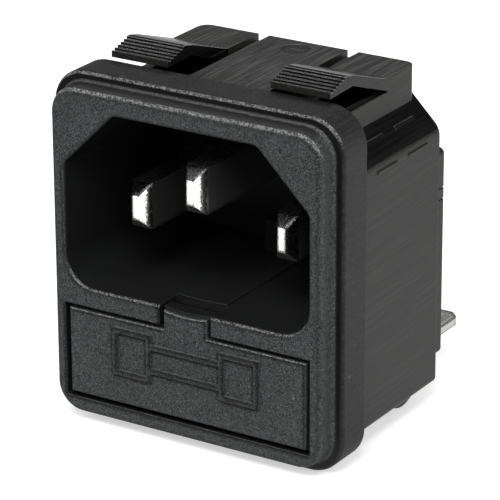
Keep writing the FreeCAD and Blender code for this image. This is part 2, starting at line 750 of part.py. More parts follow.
# Fuse drawer: the raised outline of a fuse on its front
end_mark = block("sign_near", "sign_far", "-sign_level - sign_half", "-sign_level + sign_half")
add(fuse_drawer, "sign_middle", "front", "sign_front", "sign_high", block(
    "-sign_near", "sign_near", "-sign_level - sign_bar / 2", "-sign_level + sign_bar / 2"))
add(fuse_drawer, "sign_ends", "front", "sign_front", "sign_high", end_mark, across_middle(end_mark))
end_space = block("sign_near + sign_line", "sign_far - sign_line",
                  "-sign_level - sign_half + sign_line", "-sign_level + sign_half - sign_line")
cut(fuse_drawer, "sign_spaces", "front", "sign_front", "sign_high",
    end_space, across_middle(end_space), block(
        "-sign_near", "sign_near",
        "-sign_level - sign_bar / 2 + sign_line", "-sign_level + sign_bar / 2 - sign_line"))


def cylinder(name, radius, start, length, back):
    """Makes a cylinder that lies along X at the fuses' level."""
    part = doc.addObject("Part::Cylinder", name)
    part.setExpression("Radius", expand(radius))
    part.setExpression("Height", expand(length))
    part.Placement = Placement(Vector(0, 0, 0), Rotation(Vector(0, 1, 0), 90))
    for axis, text in (("x", start), ("y", back), ("z", "-fuse_level")):
        part.setExpression(f"Placement.Base.{axis}", expand(text))
    return part


def hollow(label, outside, inside):
    """Takes one cylinder out of another and keeps the result as a piece."""
    part = doc.addObject("Part::Cut", label)
    part.Label = label
    part.Base = outside
    part.Tool = inside
    pieces.append(part)


def make_fuse(label, back):
    """Builds a glass tube fuse: a tube, a cap on each end and the wire between them."""
    half = "fuse_long / 2"
    hollow(f"{label}_glass",
           cylinder(f"{label}_tube", "glass_radius", f"-{half} + cap_wall + glass_clear",
                    "fuse_long - 2 * cap_wall - 2 * glass_clear", back),
           cylinder(f"{label}_bore", "glass_radius - glass_wall", f"-{half}", "fuse_long", back))
    for side, name in ((-1, "left"), (1, "right")):
        start = f"-{half}" if side < 0 else f"{half} - cap_long"
        inner = f"-{half} + cap_wall" if side < 0 else f"{half} - cap_long - overcut"
        hollow(f"{label}_{name}_cap",
               cylinder(f"{label}_{name}_can", "cap_radius", start, "cap_long", back),
               cylinder(f"{label}_{name}_cup", "cap_radius - cap_wall", inner,
                        "cap_long - cap_wall + overcut", back))
    wire = cylinder(f"{label}_wire", "wire_thick / 2", f"-{half} + cap_wall",
                    "fuse_long - 2 * cap_wall", back)
    wire.Label = f"{label}_wire"
    pieces.append(wire)


# Fuses: one that the clips hold and one spare
make_fuse("live_fuse", "live_at")
make_fuse("spare_fuse", "spare_at")

# Checks on every feature, then one file for each piece
doc.recompute()
for feature in doc.Objects:
    if "Invalid" in feature.State or "Error" in feature.State:
        raise RuntimeError(f"{feature.Name} didn't build")
for feature in grown + shrunk:
    if feature.BaseFeature is not None:
        gain = feature.Shape.Volume - feature.BaseFeature.Shape.Volume
        if gain * (1 if feature in grown else -1) <= 0:
            raise RuntimeError(f"{feature.Name} changes nothing")
os.makedirs("parts", exist_ok=True)
for piece in pieces:
    if piece.Shape.isNull() or not piece.Shape.isValid() or len(piece.Shape.Solids) != 1:
        raise RuntimeError(f"{piece.Label} isn't one sound solid")
    piece.Shape.exportStep(f"parts/{piece.Label}.step")
    print(f"{piece.Label}: {piece.Shape.Volume:.1f} mm3")
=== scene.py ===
"""Looks of the mains socket: its plastics, plated metal and glass fuses, in a plain pale studio.

Lengths are in metres in the socket's own frame: X to the right, Y back through the panel and Z up. The
materials alone measure places in millimetres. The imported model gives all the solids. This script adds the
scratches in the mould's mark and the drops of solder, and gives every piece its finish.
"""

import logging
import math
from dataclasses import dataclass, field
from enum import Enum
from functools import partial, reduce
from typing import Dict, Iterable, List, Optional, Sequence, Tuple, Union

import bmesh
import bpy
from mathutils import Matrix, Vector

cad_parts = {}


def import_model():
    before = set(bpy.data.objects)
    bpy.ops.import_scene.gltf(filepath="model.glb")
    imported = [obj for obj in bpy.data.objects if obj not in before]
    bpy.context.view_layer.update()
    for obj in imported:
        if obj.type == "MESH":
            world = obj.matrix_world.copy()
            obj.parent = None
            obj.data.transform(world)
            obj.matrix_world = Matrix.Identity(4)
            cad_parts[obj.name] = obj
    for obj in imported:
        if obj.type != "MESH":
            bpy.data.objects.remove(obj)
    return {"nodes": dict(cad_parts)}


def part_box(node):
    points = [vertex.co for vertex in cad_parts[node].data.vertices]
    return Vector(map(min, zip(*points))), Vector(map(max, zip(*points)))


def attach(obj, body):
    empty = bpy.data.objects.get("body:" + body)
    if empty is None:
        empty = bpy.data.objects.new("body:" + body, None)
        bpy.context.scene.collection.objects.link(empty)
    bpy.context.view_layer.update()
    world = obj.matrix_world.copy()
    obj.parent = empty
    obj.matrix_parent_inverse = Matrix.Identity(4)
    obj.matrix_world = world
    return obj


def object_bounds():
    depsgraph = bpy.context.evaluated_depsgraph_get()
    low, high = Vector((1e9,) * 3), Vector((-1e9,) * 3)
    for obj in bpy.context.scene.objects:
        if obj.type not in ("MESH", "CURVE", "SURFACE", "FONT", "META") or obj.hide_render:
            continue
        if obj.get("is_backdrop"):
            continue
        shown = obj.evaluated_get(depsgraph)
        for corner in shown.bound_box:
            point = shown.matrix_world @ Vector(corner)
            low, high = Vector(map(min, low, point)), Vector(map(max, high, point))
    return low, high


log = logging.getLogger("mains_socket")

MM = 0.001
Colour = Tuple[float, float, float, float]
Pair = Tuple[float, float]
Socket = bpy.types.NodeSocket
Node = bpy.types.Node
Material = bpy.types.Material
Piece = bpy.types.Object
Nodes = Dict[str, Piece]
Sockets = bpy.types.bpy_prop_collection
Inputs = Dict[Union[str, int], object]
Value = Union[float, Socket]


class Body(Enum):
    """The rigid bodies that a piece can ride on."""

    SOCKET = "socket"
    DRAWER = "drawer"


class Slot(Enum):
    """The record's material slots, which nothing in this script uses."""

    PLASTIC = "black_plastic"
    CAP = "fuse_caps"


def grey(level: float, warmth: float = 0.0) -> Colour:
    """Gives a near-neutral colour from an 8-bit screen level.

    Args:
        level: The level from 0 to 255 at which the surface looks right in plain light.
        warmth: How many levels red stands above blue.

    Returns:
        The colour in linear light.
    """
    def linear(screen: float) -> float:
        """Undoes the screen's standard curve."""
        part = max(screen, 0.0) / 255.0
        return part / 12.92 if part <= 0.04045 else ((part + 0.055) / 1.055) ** 2.4
    return linear(level + warmth / 2), linear(level), linear(level - warmth / 2), 1.0


def direction(azimuth: float, elevation: float) -> Vector:
    """Gives the way to a lamp or camera from its angles in degrees: from the front to the right, and up."""
    turn, lift = math.radians(azimuth), math.radians(elevation)
    return Vector((math.sin(turn) * math.cos(lift), -math.cos(turn) * math.cos(lift), math.sin(lift)))


class Graph:
    """The nodes of one material or group, made and joined by short calls."""

    def __init__(self, tree: bpy.types.NodeTree) -> None:
        """Starts on a tree, which it empties."""
        self.tree = tree
        tree.nodes.clear()

    @classmethod
    def start(cls, name: str) -> Tuple[Material, "Graph"]:
        """Starts a new material.

        Args:
            name: The material's name.

        Returns:
            The material and its graph.
        """
        made = bpy.data.materials.new(name)
        made.use_nodes = True
        return made, cls(made.node_tree)

    def node(self, kind: str, values: Optional[Inputs] = None, **settings: object) -> Node:
        """Adds a node.

        Args:
            kind: Its type name, such as "ShaderNodeMath".
            values: What each input, by name or number, is set or joined to.
            **settings: Its own settings, such as operation.

        Returns:
            The new node.
        """
        made = self.tree.nodes.new(kind)
        for name, setting in settings.items():
            setattr(made, name, setting)
        for name, value in (values or {}).items():
            self.feed(made.inputs[name], value)
        return made

    def feed(self, target: Socket, value: object) -> None:
        """Joins an input to another socket, or sets it.

        Args:
            target: The input.
            value: A socket, a number, a vector or a colour.
        """
        if isinstance(value, Socket):
            self.tree.links.new(value, target)
        else:
            target.default_value = value

    def surface(self, shader: Node, output: str = "ShaderNodeOutputMaterial") -> None:
        """Joins a shader to the output of the material or world."""
        self.feed(self.node(output).inputs["Surface"], shader.outputs[0])

    def maths(self, operation: str, first: Value, second: Value = 0.0) -> Socket:
        """Adds a Math node, with an operation such as "DIVIDE", and gives its result."""
        return self.node("ShaderNodeMath", {0: first, 1: second}, operation=operation).outputs[0]

    def add(self, *values: Value) -> Socket:
        """Adds values up."""
        return reduce(partial(self.maths, "ADD"), values)

    def multiply(self, *values: Value) -> Socket:
        """Multiplies values. For masks, the result is 1 where all of them are."""
        return reduce(partial(self.maths, "MULTIPLY"), values)

    def weigh(self, weights: Sequence[float], *values: Value) -> Socket:
        """Adds values up, each times its weight."""
        return self.add(*(self.multiply(value, weight) for value, weight in zip(values, weights)))

    def invert(self, mask: Value) -> Socket:
        """Gives what a mask lacks of 1."""
        return self.maths("SUBTRACT", 1.0, mask)

    def vary(self, levels: Pair, value: Value) -> Socket:
        """Gives the first level plus a value times the second."""
        return self.add(levels[0], self.multiply(value, levels[1]))

    def step(self, value: Value, start: float, end: float) -> Socket:
        """Gives a mask that goes smoothly from 0 at start to 1 at end.

        Args:
            value: What is measured.
            start: Where the mask is 0.
            end: Where the mask is 1.

        Returns:
            The mask.
        """
        if start > end:
            return self.invert(self.step(value, end, start))
        return self.node("ShaderNodeMapRange", {"Value": value, "From Min": start, "From Max": end},
                         interpolation_type="SMOOTHSTEP").outputs[0]

    def within(self, value: Value, low: float, high: float, soft: float = 0.05) -> Socket:
        """Gives a mask that is 1 while a value is from low to high, and 0 beyond a soft edge."""
        return self.multiply(self.step(value, low - soft, low), self.step(value, high + soft, high))

    def mix(self, factor: Value, low: object, high: object) -> Socket:
        """Blends two colours, each a colour or a socket: 0 gives the first and 1 gives the second."""
        return self.node("ShaderNodeMix", {0: factor, 6: low, 7: high}, data_type="RGBA").outputs[2]

    def scale(self, vector: object, amount: Value) -> Socket:
        """Multiplies a vector or colour, or a socket of one, by an amount."""
        start = vector if isinstance(vector, Socket) else vector[:3]
        return self.node("ShaderNodeVectorMath", {0: start, "Scale": amount}, operation="SCALE").outputs[0]

    def vectors(self, operation: str, first: object, second: object = (0.0, 0.0, 0.0)) -> Node:
        """Adds a Vector Math node for one or two vectors."""
        return self.node("ShaderNodeVectorMath", {0: first, 1: second}, operation=operation)

    def split(self, vector: Socket) -> Sockets:
        """Gives a vector's three parts."""
        return self.node("ShaderNodeSeparateXYZ", {"Vector": vector}).outputs

    def join(self, x: Value = 0.0, y: Value = 0.0, z: Value = 0.0) -> Socket:
        """Gives the vector of three parts."""
        return self.node("ShaderNodeCombineXYZ", {"X": x, "Y": y, "Z": z}).outputs[0]

    def noise(self, spot: Socket, scale: Value, detail: float, roughness: float = 0.5) -> Socket:
        """Adds a noise texture and gives its value."""
        return self.node("ShaderNodeTexNoise", {
            "Vector": spot, "Scale": scale, "Detail": detail, "Roughness": roughness}).outputs[0]

    def cells(self, spot: Socket, width: Socket) -> Sockets:
        """Adds a texture of cells of a width, each with a colour of its own, and gives its outputs."""
        scale = self.maths("DIVIDE", 1.0, width)
        return self.node("ShaderNodeTexVoronoi", {"Vector": spot, "Scale": scale}, feature="F1").outputs

    def parts(self, colour: Socket) -> Sockets:
        """Gives a colour's three parts."""
        return self.node("ShaderNodeSeparateColor", {"Color": colour}).outputs

    def bump(self, height: Socket, relief: Pair, normal: Optional[Socket] = None) -> Socket:
        """Gives the normal of a bumpy surface.

        Args:
            height: The bumps' height.
            relief: Their strength, and the length in metres that a height of 1 stands for.
            normal: The normal under them, or the surface's own.

        Returns:
            The new normal.
        """
        made = self.node("ShaderNodeBump", {"Strength": relief[0], "Distance": relief[1], "Height": height})
        if normal is not None:
            self.feed(made.inputs["Normal"], normal)
        return made.outputs[0]

    def principled(self, values: Inputs) -> None:
        """Ends the material in a Principled shader with these inputs."""
        self.surface(self.node("ShaderNodeBsdfPrincipled", values))


@dataclass
class Place:
    """Where a point of the surface is, in millimetres in the part's own frame, and which way it faces.

    Beside the plain measures, side is the distance from the middle plane, corner is side and z added up,
    reach is the level distance from a chosen centre, and lean is face_x squared.
    """

    spot: Socket
    x: Socket
    y: Socket
    z: Socket
    side: Socket
    corner: Socket
    reach: Socket
    face_x: Socket
    face_y: Socket
    face_z: Socket
    lean: Socket

    @classmethod
    def read(cls, graph: Graph, centre: Pair = (0.0, 0.0)) -> "Place":
        """Adds the nodes that read the place.

        Args:
            graph: The material's graph.
            centre: The x and y of the centre that reach is measured from.

        Returns:
            The sockets of the place.
        """
        spot = graph.scale(graph.node("ShaderNodeTexCoord").outputs["Object"], 1.0 / MM)
        x, y, z = graph.split(spot)
        face_x, face_y, face_z = graph.split(graph.node("ShaderNodeNewGeometry").outputs["Normal"])
        side = graph.maths("ABSOLUTE", x)
        gap = graph.join(graph.maths("SUBTRACT", x, centre[0]), graph.maths("SUBTRACT", y, centre[1]))
        reach = graph.vectors("LENGTH", gap).outputs["Value"]
        return cls(spot, x, y, z, side, graph.add(side, z), reach,
                   face_x, face_y, face_z, graph.multiply(face_x, face_x))


@dataclass(frozen=True)
class Limit:
    """One side of an area: its mask goes from 0 to 1 as a measure goes from outside to inside."""

    measure: str
    outside: float
    inside: float

    def mask(self, graph: Graph, place: Place) -> Socket:
        """Gives the mask."""
        return graph.step(getattr(place, self.measure), self.outside, self.inside)


@dataclass(frozen=True)
class Band:
    """Two opposite sides of an area: its mask is 1 while a measure is from low to high."""

    measure: str
    low: float
    high: float
    soft: float = 0.05

    def mask(self, graph: Graph, place: Place) -> Socket:
        """Gives the mask."""
        return graph.within(getattr(place, self.measure), self.low, self.high, self.soft)


@dataclass(frozen=True)
class Area:
    """A part of a moulding's surface, where all its limits hold, and the name of the zone that it wears."""

    zone: str
    limits: Tuple[Union[Limit, Band], ...]

    def mask(self, graph: Graph, place: Place) -> Socket:
        """Gives the mask."""
        return graph.multiply(*(limit.mask(graph, place) for limit in self.limits))


@dataclass
class Effect:
    """A shader group that several finishes share, built once, from its name and the names of its outputs.

    In the effects, weights are those of what is added up, and spans say where masks go from 0 to 1.
    """

    name: str
    outputs: Tuple[str, ...]
    tree: Optional[bpy.types.NodeTree] = None

    def fill(self, group: Graph, given: Sockets) -> Sequence[Socket]:
        """Makes the group's nodes, which each effect does in its own way."""
        raise NotImplementedError

    def use(self, graph: Graph, **values: Value) -> Sockets:
        """Puts the group into a material, and builds it the first time.

        Args:
            graph: The material's graph.
            **values: What each of its inputs is set or joined to.

        Returns:
            The group's outputs.
        """
        if self.tree is None:
            self.tree = bpy.data.node_groups.new(self.name, "ShaderNodeTree")
            for way, labels in (("INPUT", values), ("OUTPUT", self.outputs)):
                for label in labels:
                    self.tree.interface.new_socket(label, in_out=way, socket_type=(
                        "NodeSocketVector" if label in ("Place", "Normal") else "NodeSocketFloat"))
            group = Graph(self.tree)
            wanted = group.node("NodeGroupOutput")
            for label, result in zip(self.outputs, self.fill(group, group.node("NodeGroupInput").outputs)):
                group.feed(wanted.inputs[label], result)
        return graph.node("ShaderNodeGroup", values, node_tree=self.tree).outputs


@dataclass
class Grain(Effect):
    """Spark-eroded grain: fine pits and tiny facets that catch the light."""

    name: str = "Spark Eroded Grain"
    outputs: Tuple[str, ...] = ("Height", "Tone", "Glint")
    coarse_scale: float = 0.31
    height_weights: Pair = (0.6, 0.5)
    cloudy_weights: Pair = (0.75, 0.25)
    tone_weights: Pair = (0.55, 0.45)
    cloudy_span: Pair = (0.38, 0.62)
    facet_span: Pair = (0.5, 0.2)

    def fill(self, group: Graph, given: Sockets) -> Sequence[Socket]:
        """Makes the group's nodes.

        Args:
            group: The group's graph.
            given: Place and Size in millimetres, and Sparkle, the share of facets that glint.

        Returns:
            The height, tone and glint.
        """
        fine = group.maths("DIVIDE", 1.0, given["Size"])
        noise = group.noise(given["Place"], fine, 2.0, 0.6)
        coarse = group.noise(given["Place"], group.multiply(fine, self.coarse_scale), 1.0)
        cells = group.cells(given["Place"], given["Size"])
        chances = group.parts(cells["Color"])
        height = group.weigh(self.height_weights, noise, cells["Distance"])
        cloudy = group.weigh(self.cloudy_weights, noise, coarse)
        tone = group.weigh(self.tone_weights, chances[1], group.step(cloudy, *self.cloudy_span))
        spark = group.node("ShaderNodeMapRange", {
            "Value": chances[0], "From Min": group.invert(given["Sparkle"])}).outputs[0]
        return height, tone, group.multiply(spark, group.step(cells["Distance"], *self.facet_span))


@dataclass
class Streaks(Effect):
    """Flow streaks: faint bands that the melt leaves along the mould's draw, and broad clouds."""

    name: str = "Flow Streaks"
    outputs: Tuple[str, ...] = ("Tone", "Height", "Cloud")
    rise: float = 0.03
    squeeze: float = 0.025
    cloud_scale: float = 0.22
    span: Pair = (0.3, 0.7)

    def fill(self, group: Graph, given: Sockets) -> Sequence[Socket]:
        """Makes the group's nodes.

        Args:
            group: The group's graph.
            given: Place and the streaks' Width in millimetres.

        Returns:
            The tone, height and cloud.
        """
        x, y, z = group.split(given["Place"])
        lifted = group.maths("SUBTRACT", z, group.multiply(y, self.rise))
        drawn = group.join(x, group.multiply(y, self.squeeze), lifted)
        bands = group.noise(drawn, group.maths("DIVIDE", 1.0, given["Width"]), 3.0, 0.65)
        broad = group.noise(given["Place"], self.cloud_scale, 2.0)
        return group.step(bands, *self.span), bands, group.step(broad, *self.span)


@dataclass
class Edges(Effect):
    """Softened edges: a rounded normal, and masks of corners, contact and slopes."""

    name: str = "Rounded Edge"
    outputs: Tuple[str, ...] = ("Normal", "Edge", "Open", "Rise")
    corner_span: Pair = (0.995, 0.86)
    contact_way: Tuple[float, float, float] = (0.69, -0.12, 0.71)
    contact_reach: float = 0.0004

    def fill(self, group: Graph, given: Sockets) -> Sequence[Socket]:
        """Makes the group's nodes.

        Args:
            group: The group's graph.
            given: Radius, the edges' radius in metres.

        Returns:
            The normal; a mask of where corners stand out; a value that is low where something stands
            close on the side of contact_way; and the normal's Z.
        """
        rounded = group.node("ShaderNodeBevel", {"Radius": given["Radius"]}, samples=8).outputs[0]
        flat = group.node("ShaderNodeNewGeometry").outputs["Normal"]
        match = group.vectors("DOT_PRODUCT", rounded, flat).outputs["Value"]
        near = group.node("ShaderNodeAmbientOcclusion", {
            "Distance": self.contact_reach, "Normal": group.join(*self.contact_way)},
            samples=6, only_local=True)
        return rounded, group.step(match, *self.corner_span), near.outputs["AO"], group.split(rounded)[2]


@dataclass
class Specks(Effect):
    """Dust and burnt specks: single small dots, far apart."""

    name: str = "Dust Specks"
    outputs: Tuple[str, ...] = ("Speck",)
    size: Pair = (0.02, 0.05)

    def fill(self, group: Graph, given: Sockets) -> Sequence[Socket]:
        """Makes the group's nodes.

        Args:
            group: The group's graph.
            given: Place and the dots' Spacing in millimetres, and the Share of places that have one.

        Returns:
            The mask.
        """
        cells = group.cells(given["Place"], given["Spacing"])
        chances = group.parts(cells["Color"])
        picked = group.maths("GREATER_THAN", given["Share"], chances[1])
        dot = group.maths("LESS_THAN", cells["Distance"], group.vary(self.size, chances[2]))
        return [group.multiply(picked, dot)]


GRAIN, STREAKS, EDGES, SPECKS = Grain(), Streaks(), Edges(), Specks()


@dataclass(frozen=True)
class Zone:
    """One kind of surface: its tone, gloss, grain and streaks, and the strength of its painted edge
    highlight.
    """

    tone: Colour
    roughness: float
    grain: float
    streaks: float
    crest: float = 0.1


@dataclass
class Surface:
    """A moulding's surface while its material is built: its place, its effects and its zones' shares."""

    graph: Graph
    place: Place
    grain: Sockets
    streaks: Sockets
    edges: Sockets
    shares: Dict[str, Value]

    def swing(self, value: Socket) -> Socket:
        """Gives a value from 0 to 1 as a swing about 0."""
        return self.graph.maths("SUBTRACT", value, 0.5)


@dataclass(frozen=True)
class BlackPlastic:
    """Black moulded plastic: spark-eroded in front, satin with flow streaks behind, polished in the recess.

    The zones come first, then the effects' sizes in millimetres, then how strong each effect is, and last
    the spans over which its masks go from 0 to 1. The deck, lip, step, chamfer and latch zones are dark as
    painted shade, and crown and recess are a little darker as painted shade. The colour also gets painted
    highlights on glinting facets, standing edges and lit slopes, and a painted shadow beside raised relief.
    """

    face: Zone = Zone(grey(62, -2), 0.46, 1.0, 0.0, 1.0)
    # Painted shade on the front plate's top edge, in front of the flange.
    lip: Zone = Zone(grey(26), 0.42, 0.6, 0.0)
    # Painted shade: the flange's top is made darker than its sides.
    deck: Zone = Zone(grey(16), 0.42, 1.0, 0.1, 0.5)
    # Painted shade: the ledge at the flange's front is made dark, as its cove lies in shade.
    step: Zone = Zone(grey(16), 0.3, 0.15, 0.0)
    rim: Zone = Zone(grey(31, 1), 0.5, 0.45, 0.25)
    satin: Zone = Zone(grey(31, 3), 0.38, 0.1, 0.45)
    # The body's top: its strong streaks are its own, and its slightly darker tone is painted shade.
    crown: Zone = Zone(grey(29, 3), 0.36, 0.1, 0.85, 0.5)
    mark: Zone = Zone(grey(20), 0.3, 0.0, 0.3, 0.0)
    scratch: Zone = Zone(grey(74), 0.4, 0.0, 0.0, 0.0)
    # The latch pads: dark as painted shade, with strong painted highlights on the crests of their teeth.
    latch: Zone = Zone(grey(6), 0.2, 0.0, 0.05, 2.2)
    # Painted shade: the side chamfers and the pockets under the latch arms are made dark.
    chamfer: Zone = Zone(grey(8), 0.16, 0.0, 0.1)
    # Polished inside faces; their slightly darker tone is painted shade.
    recess: Zone = Zone(grey(29, -1), 0.28, 0.0, 0.02)
    # The colour of the painted highlights; the glossy streaks are also blended to it.
    pale: Colour = grey(170)
    dust: Colour = grey(150)

    edge_radius: float = 0.00013
    grain_size: float = 0.11
    streak_width: float = 0.22
    dust_spacing: float = 2.6

    sparkle: float = 0.16
    dust_share: float = 0.16
    dust_cover: float = 0.5
    grain_swing: float = 1.8
    streak_swing: float = 0.9
    cloud_swing: float = 0.1
    least_tone: float = 0.05
    # How dark the painted shadow beside raised relief is.
    contact_shade: float = 0.95
    light_weights: Tuple[float, float, float] = (0.4, 0.5, 0.45)
    edge_highlight_levels: Pair = (0.1, 0.9)
    streak_light: float = 0.1
    streak_gloss: float = 0.22
    streak_height: float = 0.5
    relief: Pair = (0.8, 0.00009)

    plain: Pair = (-0.8, -0.95)
    shaded: Pair = (0.93, 0.72)
    rising: Pair = (0.1, 0.5)
    exposed: Pair = (0.6, 0.9)
    cove: Band = Band("y", -4.3, -3.1, 0.1)
    lit: Area = Area("face", (
        Limit("face_z", 0.2, 0.5), Limit("face_z", 0.97, 0.8), Limit("face_y", -0.2, -0.5),
        Limit("y", -2.9, -3.1)))
    lit_grain: Pair = (0.3, 0.8)
    unlit: Band = Band("y", -4.8, -3.53, 0.03)
    glossy: Pair = (0.35, 1.0)

    def material(self, name: str, areas: Sequence[Area], centre: Pair = (0.0, 0.0)) -> Material:
        """Builds the material for one moulding.

        Args:
            name: The material's name.
            areas: The areas that lie over the satin zone, the last on top.
            centre: The x and y of the centre that the areas' reach is measured from.

        Returns:
            The material.
        """
        made, graph = Graph.start(name)
        place = Place.read(graph, centre)
        shares = {key: getattr(self.satin, key) for key in ("roughness", "grain", "streaks", "crest")}
        surface = Surface(
            graph, place, GRAIN.use(graph, Place=place.spot, Size=self.grain_size, Sparkle=self.sparkle),
            STREAKS.use(graph, Place=place.spot, Width=self.streak_width),
            EDGES.use(graph, Radius=self.edge_radius), shares)
        dust = SPECKS.use(graph, Place=place.spot, Spacing=self.dust_spacing, Share=self.dust_share)
        colour = graph.scale(self._lay(surface, areas), self._tone(surface))
        colour = graph.mix(self._light(surface), colour, self.pale)
        colour = graph.mix(graph.multiply(dust["Speck"], self.dust_cover), colour, self.dust)
        sheen = graph.multiply(graph.step(surface.streaks["Tone"], *self.glossy), shares["streaks"])
        colour = graph.mix(graph.multiply(sheen, self.streak_light), colour, self.pale)
        flow = graph.multiply(surface.swing(surface.streaks["Tone"]), shares["streaks"], self.streak_gloss)
        height = graph.add(
            graph.multiply(surface.grain["Height"], shares["grain"]),
            graph.multiply(surface.streaks["Height"], shares["streaks"], self.streak_height))
        graph.principled({
            "Base Color": colour, "Roughness": graph.add(shares["roughness"], flow),
            "Normal": graph.bump(height, self.relief, surface.edges["Normal"])})
        return made

    def _lay(self, surface: Surface, areas: Sequence[Area]) -> Socket:
        """Lays the zones over one another.

        Args:
            surface: The surface, whose shares this blends.
            areas: The areas over the satin zone.

        Returns:
            The blended tone.
        """
        graph, shares = surface.graph, surface.shares
        colour: object = self.satin.tone
        for area in areas:
            zone, mask = getattr(self, area.zone), area.mask(graph, surface.place)
            colour = graph.mix(mask, colour, zone.tone)
            for key, value in shares.items():
                gap = graph.maths("SUBTRACT", getattr(zone, key), value)
                shares[key] = graph.add(value, graph.multiply(mask, gap))
        return colour

    def _tone(self, surface: Surface) -> Socket:
        """Finds how light a point is beside its zone, from grain, streaks, clouds and painted shadow near
        relief.

        Args:
            surface: The surface, with its zones laid.

        Returns:
            What its tone is multiplied by.
        """
        graph, shares = surface.graph, surface.shares
        tone = graph.add(
            1.0, graph.multiply(surface.swing(surface.grain["Tone"]), self.grain_swing, shares["grain"]),
            graph.multiply(surface.swing(surface.streaks["Tone"]), self.streak_swing, shares["streaks"]),
            graph.multiply(surface.swing(surface.streaks["Cloud"]), self.cloud_swing))
        # Painted shadow on front faces where relief stands close towards the key lamp's side.
        shaded = graph.multiply(
            graph.step(surface.edges["Open"], *self.shaded),
            graph.step(surface.place.face_y, *self.plain), shares["grain"], self.contact_shade)
        return graph.maths("MAXIMUM", graph.multiply(tone, graph.invert(shaded)), self.least_tone)

    def _light(self, surface: Surface) -> Socket:
        """Finds where highlights are painted: glinting facets, edges that stand out, and slopes facing the
        light.

        Args:
            surface: The surface, with its zones laid.

        Returns:
            The mask.
        """
        graph, place, grain, shares = surface.graph, surface.place, surface.grain, surface.shares
        glint = graph.multiply(grain["Glint"], shares["grain"])
        mottle = graph.invert(graph.multiply(shares["grain"], graph.invert(grain["Tone"])))
        rise = graph.step(surface.edges["Rise"], *self.rising)
        # Painted highlight on edges that stand out, paler where they face up, but not in the cove at the
        # flange's foot.
        edge_highlight = graph.multiply(
            surface.edges["Edge"], mottle, graph.vary(self.edge_highlight_levels, rise),
            shares["crest"], graph.step(surface.edges["Open"], *self.exposed),
            graph.invert(self.cove.mask(graph, place)))
        lit = graph.multiply(
            self.lit.mask(graph, place), graph.step(grain["Tone"], *self.lit_grain),
            graph.invert(self.unlit.mask(graph, place)))
        return graph.weigh(self.light_weights, glint, edge_highlight, lit)


